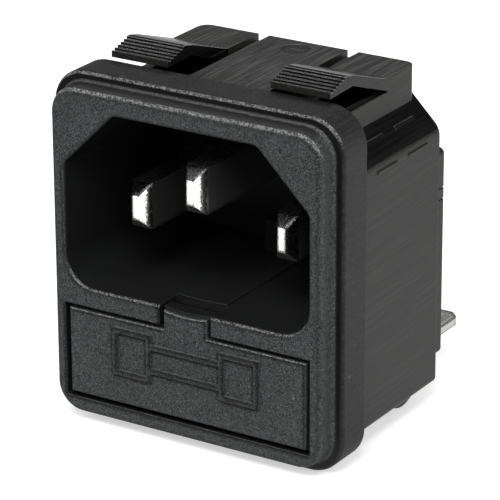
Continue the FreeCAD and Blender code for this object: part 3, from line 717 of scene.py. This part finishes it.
@dataclass(frozen=True)
class NickelPlate:
    """Nickel plate on stamped brass: bright flats and fine rolling lines, with painted shade and
    highlights.

    The tips of the pins are pitted. Their bevels that face up and right, and their flanks inside the
    recess, are darker as painted shade, and the line and earth pins' right bevels get a painted highlight.
    Places are in millimetres, and each span goes from where a mask is 0 to where it is 1.
    """

    bright: Colour = (0.86, 0.85, 0.82, 1.0)
    dull: Colour = (0.44, 0.43, 0.41, 1.0)
    upper_shade_tones: Tuple[Colour, Colour] = ((0.05, 0.05, 0.05, 1.0), (0.2, 0.2, 0.2, 1.0))
    right_shade_tones: Tuple[Colour, Colour] = ((0.12, 0.12, 0.12, 1.0), (0.5, 0.5, 0.5, 1.0))
    flank_shade_tone: Colour = (0.36, 0.36, 0.37, 1.0)

    line_width: float = 0.07
    grain_size: float = 0.09
    sparkle: float = 0.02
    edge_radius: float = 0.00055

    tip: Pair = (-0.8, -0.9)
    patch_scale: float = 1.1
    patch: Pair = (0.42, 0.62)
    pit: Pair = (0.6, 0.9)
    pit_levels: Pair = (0.03, 0.6)
    shade: Pair = (0.93, 0.12)

    inside: Pair = (12.9, 12.7)
    bevel: Pair = (0.25, 0.93)
    ahead: Pair = (-0.1, -0.3)
    flank: Pair = (0.9, 0.97)
    speck: Pair = (0.45, 0.9)

    pin_distance: float = 7.0
    ragged: float = 0.25
    rounded: Pair = (1.0, 0.65)
    rounded_end: Pair = (1.2, 1.0)
    push: float = -3.5

    roughness: float = 0.2
    rough_weights: Tuple[float, float, float] = (0.1, 0.25, 0.25)
    height_weights: Pair = (0.35, 0.8)
    relief: Pair = (0.35, 0.00002)

    def material(self) -> Material:
        """Builds the material.

        Returns:
            The material.
        """
        made, graph = Graph.start("nickel plate")
        place = Place.read(graph)
        lines = STREAKS.use(graph, Place=place.spot, Width=self.line_width)
        grain = GRAIN.use(graph, Place=place.spot, Size=self.grain_size, Sparkle=self.sparkle)
        edges = EDGES.use(graph, Radius=self.edge_radius)
        tip = graph.multiply(
            graph.step(place.y, *self.tip),
            graph.step(graph.noise(place.spot, self.patch_scale, 1.0), *self.patch))
        pitted = graph.multiply(graph.step(grain["Tone"], *self.pit), graph.vary(self.pit_levels, tip))
        inside = graph.step(place.y, *self.inside)
        ahead = graph.multiply(graph.step(place.face_y, *self.ahead), inside)
        right = graph.multiply(graph.within(place.face_x, *self.bevel), ahead)
        # Painted shade on the pins' flanks inside the recess.
        flank = graph.multiply(graph.step(graph.maths("ABSOLUTE", place.face_x), *self.flank), inside)
        # The line and earth pins' ends, up to a ragged limit, are shaded as if their bevels were rounder:
        # the normal is turned to the front, and the colour gets a painted highlight.
        line = graph.maths("ABSOLUTE", graph.add(place.x, self.pin_distance))
        offset = graph.maths("MINIMUM", line, place.side)
        limit = graph.add(offset, graph.multiply(grain["Tone"], self.ragged))
        rounded = graph.multiply(graph.step(limit, *self.rounded), ahead)

        colour = graph.mix(pitted, self.bright, self.dull)
        colour = graph.scale(colour, graph.vary(self.shade, lines["Tone"]))
        speck = graph.step(grain["Tone"], *self.speck)
        # Painted shade, speckled, on the bevels that face up.
        upper = graph.multiply(graph.within(place.face_z, *self.bevel), ahead)
        colour = graph.mix(upper, colour, graph.mix(speck, *self.upper_shade_tones))
        # Painted shade on the right bevels, and a painted highlight on the line and earth pins' rounder
        # ends.
        whole = graph.multiply(rounded, graph.step(offset, *self.rounded_end))
        rounded_bevel_highlight = graph.mix(whole, graph.mix(speck, *self.right_shade_tones), self.bright)
        colour = graph.mix(flank, graph.mix(right, colour, rounded_bevel_highlight), self.flank_shade_tone)

        rough = graph.add(self.roughness, graph.weigh(self.rough_weights, lines["Tone"], pitted, flank))
        pits = graph.multiply(grain["Height"], tip)
        height = graph.weigh(self.height_weights, lines["Height"], pits)
        turned = graph.join(y=graph.multiply(rounded, right, self.push))
        bent = graph.vectors("NORMALIZE", graph.vectors("ADD", edges["Normal"], turned).outputs[0])
        graph.principled({
            "Base Color": colour, "Metallic": 1.0, "Roughness": rough,
            "Normal": graph.bump(height, self.relief, bent.outputs[0])})
        return made


@dataclass(frozen=True)
class CapMetal:
    """Plated fuse cap: spun, so its fine lines run round it, with handling marks."""

    tone: Colour = (0.72, 0.7, 0.66, 1.0)
    ring_scale: float = 9.0
    mark_scale: float = 1.6
    edge_radius: float = 0.0002
    shade: Pair = (0.86, 0.24)
    gloss: Pair = (0.16, 0.22)
    relief: Pair = (0.3, 0.00002)

    def material(self) -> Material:
        """Builds the material.

        Returns:
            The material.
        """
        made, graph = Graph.start("fuse cap metal")
        place = Place.read(graph)
        rings = graph.noise(graph.join(place.x), self.ring_scale, 3.0)
        marks = graph.noise(place.spot, self.mark_scale, 4.0)
        edges = EDGES.use(graph, Radius=self.edge_radius)
        graph.principled({
            "Base Color": graph.scale(self.tone, graph.vary(self.shade, rings)),
            "Metallic": 1.0, "Roughness": graph.vary(self.gloss, marks),
            "Normal": graph.bump(rings, self.relief, edges["Normal"])})
        return made


@dataclass(frozen=True)
class TubeGlass:
    """Clear drawn glass of a fuse tube, with faint draw lines."""

    tone: Colour = (0.95, 0.985, 0.98, 1.0)
    squeeze: Tuple[float, float, float] = (0.05, 1.0, 1.0)
    line_scale: float = 2.5
    gloss: Pair = (0.01, 0.04)
    relief: Pair = (0.15, 0.00002)
    refraction: float = 1.5

    def material(self) -> Material:
        """Builds the material.

        Returns:
            The material.
        """
        made, graph = Graph.start("fuse tube glass")
        drawn = graph.vectors("MULTIPLY", Place.read(graph).spot, self.squeeze).outputs[0]
        lines = graph.noise(drawn, self.line_scale, 2.0)
        graph.principled({
            "Base Color": self.tone, "Roughness": graph.vary(self.gloss, lines),
            "IOR": self.refraction, "Transmission Weight": 1.0, "Normal": graph.bump(lines, self.relief)})
        return made


@dataclass(frozen=True)
class TinnedWire:
    """Tinned fuse wire and the solder that holds it: pale, soft and slightly uneven."""

    tone: Colour = (0.6, 0.6, 0.58, 1.0)
    lump_scale: float = 3.0
    shade: Pair = (0.8, 0.35)
    gloss: Pair = (0.25, 0.2)
    relief: Pair = (0.4, 0.00003)

    def material(self) -> Material:
        """Builds the material.

        Returns:
            The material.
        """
        made, graph = Graph.start("tinned wire")
        lumps = graph.noise(Place.read(graph).spot, self.lump_scale, 3.0)
        graph.principled({
            "Base Color": graph.scale(self.tone, graph.vary(self.shade, lumps)),
            "Metallic": 1.0, "Roughness": graph.vary(self.gloss, lumps),
            "Normal": graph.bump(lumps, self.relief)})
        return made


def put(name: str, mesh: bmesh.types.BMesh, body: Body, material: Material) -> Piece:
    """Turns a mesh into a smooth piece of the object.

    Args:
        name: The piece's name.
        mesh: Its mesh in the part's own frame, freed here.
        body: The body that it rides on.
        material: Its material.

    Returns:
        The new piece.
    """
    bmesh.ops.recalc_face_normals(mesh, faces=mesh.faces)
    data = bpy.data.meshes.new(name)
    mesh.to_mesh(data)
    mesh.free()
    for polygon in data.polygons:
        polygon.use_smooth = True
    made = bpy.data.objects.new(name, data)
    bpy.context.scene.collection.objects.link(made)
    data.materials.append(material)
    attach(made, body.value)
    return made


def dress(nodes: Nodes, names: Iterable[str], material: Material) -> None:
    """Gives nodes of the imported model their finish.

    Args:
        nodes: All the nodes by name.
        names: Those to dress.
        material: Their material.
    """
    for name in names:
        mesh = nodes[name].data
        mesh.materials.clear()
        mesh.materials.append(material)


@dataclass(frozen=True)
class Ridge:
    """A low rounded ridge along a line, tapering to nothing at both ends."""

    half: float
    high: float
    segments: int = 6
    taper: float = 0.04
    fullness: float = 0.5

    def build(self, points: Sequence[Vector], up: Vector) -> bmesh.types.BMesh:
        """Builds the ridge.

        Args:
            points: The line, on the surface that carries the ridge.
            up: The surface's normal.

        Returns:
            The mesh.
        """
        mesh = bmesh.new()
        rows: List[List[bmesh.types.BMVert]] = []
        last = len(points) - 1
        for index, point in enumerate(points):
            ahead = points[min(index + 1, last)] - points[max(index - 1, 0)]
            across = ahead.normalized().cross(up).normalized()
            along = self.taper + (1.0 - 2.0 * self.taper) * index / last
            swell = math.sin(math.pi * along) ** self.fullness
            row = []
            for turn in range(self.segments + 1):
                angle = math.pi * turn / self.segments
                reach = across * (math.cos(angle) * self.half * swell)
                row.append(mesh.verts.new(point + reach + up * (math.sin(angle) * self.high * swell)))
            rows.append(row)
        for near, far in zip(rows, rows[1:]):
            for turn in range(self.segments):
                mesh.faces.new((near[turn], near[turn + 1], far[turn + 1], far[turn]))
            mesh.faces.new((near[-1], near[0], far[0], far[-1]))
        mesh.faces.new(rows[0])
        mesh.faces.new(rows[-1])
        return mesh


# Limits in millimetres that several of the housing's areas share.
UPWARD = Limit("face_z", 0.72, 0.95)
BEHIND_FACE = Limit("y", -5.27, -5.15)
FLANGE = (Limit("y", -3.5, -3.42), Limit("y", 0.05, -0.05))
EJECTOR_MARK = (Limit("reach", 1.34, 1.3), Band("z", 14.4, 14.535, 0.005))


@dataclass
class Moulding:
    """One black moulding, the areas of its surface and the x and y that their reach is measured from."""

    node: str
    plastic: str
    areas: Tuple[Area, ...]
    centre: Pair = (0.0, 0.0)
    finish: BlackPlastic = field(default_factory=BlackPlastic)

    def dress(self, nodes: Nodes) -> Material:
        """Gives the moulding its plastic.

        Args:
            nodes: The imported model's nodes.

        Returns:
            The plastic.
        """
        material = self.finish.material(self.plastic, self.areas, self.centre)
        dress(nodes, (self.node,), material)
        return material


@dataclass
class Housing(Moulding):
    """The housing and the scratches in the ejector mark on its top."""

    node: str = "housing"
    plastic: str = "housing plastic"
    centre: Pair = (0.0, 11.9)
    top: float = 14.55 * MM
    scratch_shifts: Tuple[float, ...] = (-0.42, 0.0, 0.4)
    scratch_reach: float = 0.62
    scratch_shrink: float = 0.2
    scratch_depth: float = 0.08 * MM
    scratch_way: Tuple[float, float, float] = (0.55, 0.83, 0.0)
    scratch_steps: int = 12
    scratch: Ridge = Ridge(0.07 * MM, 0.05 * MM)
    areas: Tuple[Area, ...] = (
        Area("face", (Limit("y", -3.42, -3.5),)),
        Area("rim", FLANGE),
        # Painted shade on the flange's top.
        Area("deck", (*FLANGE, UPWARD)),
        # Painted shade on the front plate's top edge.
        Area("lip", (Band("y", -4.95, -3.4, 0.12), UPWARD, Limit("z", 13.5, 14.0))),
        # The body's top: own streaks, with slight painted shade.
        Area("crown", (Limit("y", 0.02, 0.06), UPWARD)),
        Area("mark", EJECTOR_MARK),
        Area("scratch", (*EJECTOR_MARK, Limit("z", 14.478, 14.484))),
        # Painted shade in the cove at the flange's front.
        Area("step", (Band("y", -3.75, -3.35, 0.1), Limit("face_y", -0.75, -0.97))),
        # Painted shade on the side chamfers.
        Area("chamfer", (
            Limit("lean", 0.2, 0.35), Band("face_z", 0.45, 0.9, 0.1), Limit("y", -0.1, 0.1),
            Band("z", 9.0, 11.9, 0.2))),
        # Painted shade, and painted crest highlights, on the latch pads.
        Area("latch", (Limit("z", 14.56, 14.64), Band("y", 0.1, 9.1), Band("side", 4.8, 10.4))),
        # Painted shade in the pockets under the latch arms.
        Area("chamfer", (
            Limit("z", 14.5, 14.4), Limit("z", 12.6, 12.8), Band("y", 0.02, 9.1, 0.02),
            Band("side", 3.78, 9.42, 0.02))),
        Area("recess", (
            Limit("side", 11.98, 11.9), Band("z", -3.24, 12.9, 0.02), BEHIND_FACE,
            Limit("y", 12.95, 12.8), Limit("corner", 20.0, 19.7))),
        Area("recess", (
            Limit("side", 11.86, 11.8), Band("z", -12.92, -2.8, 0.03), BEHIND_FACE,
            Limit("y", 12.4, 12.35))))

    def build(self, material: Material) -> List[Piece]:
        """Builds the scratches in the mark that the mould leaves.

        Args:
            material: The housing's plastic.

        Returns:
            The new pieces.
        """
        made = []
        for index, shift in enumerate(self.scratch_shifts):
            reach = self.scratch_reach - self.scratch_shrink * abs(shift)
            middle = Vector((shift * MM, self.centre[1] * MM, self.top - self.scratch_depth))
            along = Vector(self.scratch_way) * (reach * MM)
            half = self.scratch_steps / 2
            line = [middle + along * (step / half - 1.0) for step in range(self.scratch_steps + 1)]
            mesh = self.scratch.build(line, Vector((0.0, 0.0, 1.0)))
            made.append(put(f"ejector_scratch_{index + 1}", mesh, Body.SOCKET, material))
        return made


@dataclass
class RearCover(Moulding):
    """The lid over the housing's back, polished inside."""

    node: str = "rear_cover"
    plastic: str = "cover plastic"
    areas: Tuple[Area, ...] = (Area("recess", (Limit("face_y", -0.5, -0.9),)),)


@dataclass
class Drawer(Moulding):
    """The fuse drawer: a grained front and a smooth tray."""

    node: str = "fuse_drawer"
    plastic: str = "drawer plastic"
    areas: Tuple[Area, ...] = (
        Area("face", (Limit("y", -4.9, -4.95),)), Area("recess", (Band("y", -4.95, -3.6, 0.03),)))


@dataclass
class Contacts:
    """The pins, the terminal and the fuse clips."""

    names: Tuple[str, ...] = (
        "line_pin", "neutral_pin", "earth_pin", "line_terminal", "line_fuse_clip", "terminal_fuse_clip")
    finish: NickelPlate = field(default_factory=NickelPlate)

    def dress(self, nodes: Nodes) -> None:
        """Gives the contacts their plate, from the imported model's nodes."""
        dress(nodes, self.names, self.finish.material())


@dataclass
class Fuses:
    """The two fuses: glass tubes, spun caps with a drop of solder on each end, and a wire."""

    names: Tuple[str, ...] = ("live_fuse", "spare_fuse")
    solder_radius: float = 0.75 * MM
    solder_high: float = 0.12 * MM
    solder_rings: int = 5
    solder_turns: int = 24
    solder_waver: Pair = (0.06, 0.8)
    cap: CapMetal = field(default_factory=CapMetal)
    glass: TubeGlass = field(default_factory=TubeGlass)
    wire: TinnedWire = field(default_factory=TinnedWire)

    def build(self, wire: Material) -> List[Piece]:
        """Builds a low solder drop on each cap's end, inside the length of the cap.

        Args:
            wire: The solder's material.

        Returns:
            The new pieces.
        """
        made = []
        for name in self.names:
            for end, side in (("left", -1), ("right", 1)):
                low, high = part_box(f"{name}_{end}_cap")
                middle = Vector((low.x if side < 0 else high.x, (low.y + high.y) / 2, (low.z + high.z) / 2))
                drop = self._drop(middle, side)
                made.append(put(f"{name}_solder_{end}", drop, Body.DRAWER, wire))
        return made

    def _drop(self, middle: Vector, side: int) -> bmesh.types.BMesh:
        """Builds one solder drop.

        Args:
            middle: The centre of the cap's end.
            side: -1 on the left and 1 on the right.

        Returns:
            The mesh.
        """
        mesh = bmesh.new()
        rings = []
        for ring in range(self.solder_rings):
            rise = ring / self.solder_rings * math.pi / 2
            radius = self.solder_radius * math.cos(rise)
            row = []
            for turn in range(self.solder_turns):
                angle = 2 * math.pi * turn / self.solder_turns
                waver = 1 + self.solder_waver[0] * math.sin(turn * self.solder_waver[1])
                row.append(mesh.verts.new(middle + Vector((
                    side * self.solder_high * math.sin(rise), radius * math.cos(angle) * waver,
                    radius * math.sin(angle)))))
            rings.append(row)
        tip = mesh.verts.new(middle + Vector((side * self.solder_high, 0.0, 0.0)))
        for near, far in zip(rings, rings[1:]):
            for turn in range(self.solder_turns):
                after = (turn + 1) % self.solder_turns
                mesh.faces.new((near[turn], near[after], far[after], far[turn]))
        for turn in range(self.solder_turns):
            mesh.faces.new((rings[-1][turn], rings[-1][(turn + 1) % self.solder_turns], tip))
        mesh.faces.new(list(reversed(rings[0])))
        return mesh

    def dress(self, nodes: Nodes, wire: Material) -> None:
        """Gives the fuses their glass and metals.

        Args:
            nodes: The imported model's nodes.
            wire: The wire's material.
        """
        cap, glass = self.cap.material(), self.glass.material()
        for name in self.names:
            dress(nodes, (f"{name}_left_cap", f"{name}_right_cap"), cap)
            dress(nodes, (f"{name}_glass",), glass)
            dress(nodes, (f"{name}_wire",), wire)


@dataclass
class Softbox:
    """One studio lamp: a square that hangs round the object and may light only some of its nodes."""

    name: str
    azimuth: float
    elevation: float
    distance: float
    width: float
    power: float
    lit: Tuple[str, ...] = ()

    def build(self, aim: Vector, nodes: Nodes) -> Piece:
        """Hangs the lamp and turns it to the object.

        Args:
            aim: Where it points.
            nodes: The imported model's nodes, from which it lights only those that it names, if any.

        Returns:
            The lamp.
        """
        away = direction(self.azimuth, self.elevation)
        data = bpy.data.lights.new(self.name, "AREA")
        data.shape = "RECTANGLE"
        data.size = self.width
        data.size_y = self.width
        data.energy = self.power
        made = bpy.data.objects.new(self.name, data)
        made.location = aim + away * self.distance
        made.rotation_mode = "QUATERNION"
        made.rotation_quaternion = (-away).to_track_quat("-Z", "Y")
        made.visible_camera = False
        bpy.context.scene.collection.objects.link(made)
        if self.lit:
            group = bpy.data.collections.new(f"{self.name} lights")
            for name in self.lit:
                group.objects.link(nodes[name])
            made.light_linking.receiver_collection = group
        return made


@dataclass
class Studio:
    """The pale floor, the world and the lamps.

    The floor and the world each have a level for the camera or for plain rays, and a pair for mirror rays:
    everywhere, and what is added behind the object. The other spans say where masks go from 0 to 1.
    """

    aim: Tuple[float, float, float] = (0.0, -0.001, 0.004)
    white: Colour = (1.0, 1.0, 1.0, 1.0)
    floor_reach: float = 1.5
    floor_segments: int = 64
    floor_tone: Colour = (0.8, 0.8, 0.8, 1.0)
    floor_seen: float = 0.55
    floor_mirrored: Pair = (0.12, 0.57)
    floor_behind: Pair = (-0.03, 0.02)
    sky_mirrored: Pair = (0.03, 0.075)
    sky_low: Pair = (0.5, 0.4)
    sky_behind: Pair = (-0.1, 0.35)
    sky_soft: float = 0.3
    lamps: Tuple[Softbox, ...] = (
        Softbox("key", 22.0, 54.0, 0.45, 0.24, 1.65),
        Softbox("left", -50.0, 40.0, 0.6, 0.3, 0.6),
        Softbox("right", 95.0, 30.0, 0.6, 0.3, 0.7),
        Softbox("rear", 205.0, 45.0, 0.6, 0.35, 0.4),
        Softbox("card", -24.0, -19.0, 0.045, 0.036, 0.0125, ("line_pin", "neutral_pin", "earth_pin")),
    )

    def build(self, ground: float, nodes: Nodes) -> None:
        """Builds all of it.

        Args:
            ground: The level that the object stands on.
            nodes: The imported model's nodes.
        """
        self._floor(ground)
        self._world()
        for lamp in self.lamps:
            lamp.build(Vector(self.aim), nodes)

    @staticmethod
    def _seen(graph: Graph, path: Node) -> Socket:
        """Gives the mask of rays from the camera, also through glass."""
        return graph.maths("MAXIMUM", path.outputs["Is Camera Ray"], path.outputs["Is Transmission Ray"])

    def _floor(self, ground: float) -> None:
        """Lays the floor, which shows white but keeps the object's shadow.

        Args:
            ground: Its level.
        """
        mesh = bmesh.new()
        bmesh.ops.create_circle(mesh, cap_ends=True, radius=self.floor_reach, segments=self.floor_segments)
        data = bpy.data.meshes.new("floor")
        mesh.to_mesh(data)
        mesh.free()
        made = bpy.data.objects.new("floor", data)
        made.location.z = ground
        bpy.context.scene.collection.objects.link(made)
        material, graph = Graph.start("pale floor")
        path = graph.node("ShaderNodeLightPath")
        spot = graph.split(graph.node("ShaderNodeTexCoord").outputs["Object"])
        behind = graph.step(spot[1], *self.floor_behind)
        matt = graph.node("ShaderNodeBsdfDiffuse", {"Color": self.floor_tone})
        seen = graph.node("ShaderNodeEmission", {
            "Color": self.white, "Strength": graph.multiply(self._seen(graph, path), self.floor_seen)})
        mirrored = graph.node("ShaderNodeEmission", {
            "Color": self.white, "Strength": graph.vary(self.floor_mirrored, behind)})
        both = graph.node("ShaderNodeAddShader", {0: matt.outputs[0], 1: seen.outputs[0]})
        graph.surface(graph.node("ShaderNodeMixShader", {
            0: path.outputs["Is Glossy Ray"], 1: both.outputs[0], 2: mirrored.outputs[0]}))
        data.materials.append(material)
        made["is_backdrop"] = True

    def _world(self) -> None:
        """Makes the world: white to the camera, and to mirror rays paler low down behind the object."""
        world = bpy.data.worlds.new("studio")
        bpy.context.scene.world = world
        world.use_nodes = True
        graph = Graph(world.node_tree)
        path = graph.node("ShaderNodeLightPath")
        glossy = path.outputs["Is Glossy Ray"]
        way = graph.split(graph.node("ShaderNodeTexCoord").outputs["Generated"])
        behind = graph.multiply(graph.step(way[2], *self.sky_low), graph.step(way[1], *self.sky_behind))
        mirrored = graph.multiply(glossy, graph.vary(self.sky_mirrored, behind))
        soft = graph.multiply(graph.invert(glossy), self.sky_soft)
        graph.surface(graph.node("ShaderNodeBackground", {
            "Color": self.white,
            "Strength": graph.maths("MAXIMUM", graph.add(mirrored, soft), self._seen(graph, path))}),
            "ShaderNodeOutputWorld")


@dataclass(frozen=True)
class PhotoCamera:
    """The camera at the photograph's place, in degrees, millimetres and metres."""

    azimuth: float = 32.186
    elevation: float = 21.474
    roll: float = -0.261
    distance: float = 0.2542
    lens: float = 232.0
    sensor: float = 36.0
    clip: Pair = (0.01, 10.0)
    aim: Tuple[float, float, float] = (0.006242, -0.0053, 0.00371)

    def build(self) -> Piece:
        """Makes the camera.

        Returns:
            The camera.
        """
        turn, tilt = math.radians(self.azimuth), math.radians(self.roll)
        back = direction(self.azimuth, self.elevation)
        right = Vector((math.cos(turn), math.sin(turn), 0.0))
        up = back.cross(right)
        level = right * math.cos(tilt) + up * math.sin(tilt)
        upright = up * math.cos(tilt) - right * math.sin(tilt)
        data = bpy.data.cameras.new("photo camera")
        data.lens = self.lens
        data.sensor_width = self.sensor
        data.clip_start, data.clip_end = self.clip
        made = bpy.data.objects.new("photo camera", data)
        axes = Matrix((level, upright, back)).transposed().to_4x4()
        made.matrix_world = Matrix.Translation(Vector(self.aim) + back * self.distance) @ axes
        bpy.context.scene.collection.objects.link(made)
        bpy.context.scene.camera = made
        return made


def main() -> None:
    """Loads the frame, builds and dresses each sub-assembly, and sets up the studio."""
    logging.basicConfig(level=logging.INFO, format="%(name)s: %(message)s")
    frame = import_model()
    cad_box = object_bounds()
    nodes = frame["nodes"]
    housing = Housing()
    marks = housing.build(housing.dress(nodes))
    log.info("housing with %d marks", len(marks))
    RearCover().dress(nodes)
    log.info("rear cover")
    Drawer().dress(nodes)
    log.info("fuse drawer")
    Contacts().dress(nodes)
    log.info("contacts")
    fuses = Fuses()
    wire = fuses.wire.material()
    drops = fuses.build(wire)
    fuses.dress(nodes, wire)
    log.info("fuses with %d drops of solder", len(drops))
    Studio().build(cad_box[0].z, nodes)
    PhotoCamera().build()
    bpy.context.scene.view_settings.view_transform = "Standard"
    bpy.context.view_layer.update()
    log.info("camera and studio")


if __name__ == "__main__":
    main()
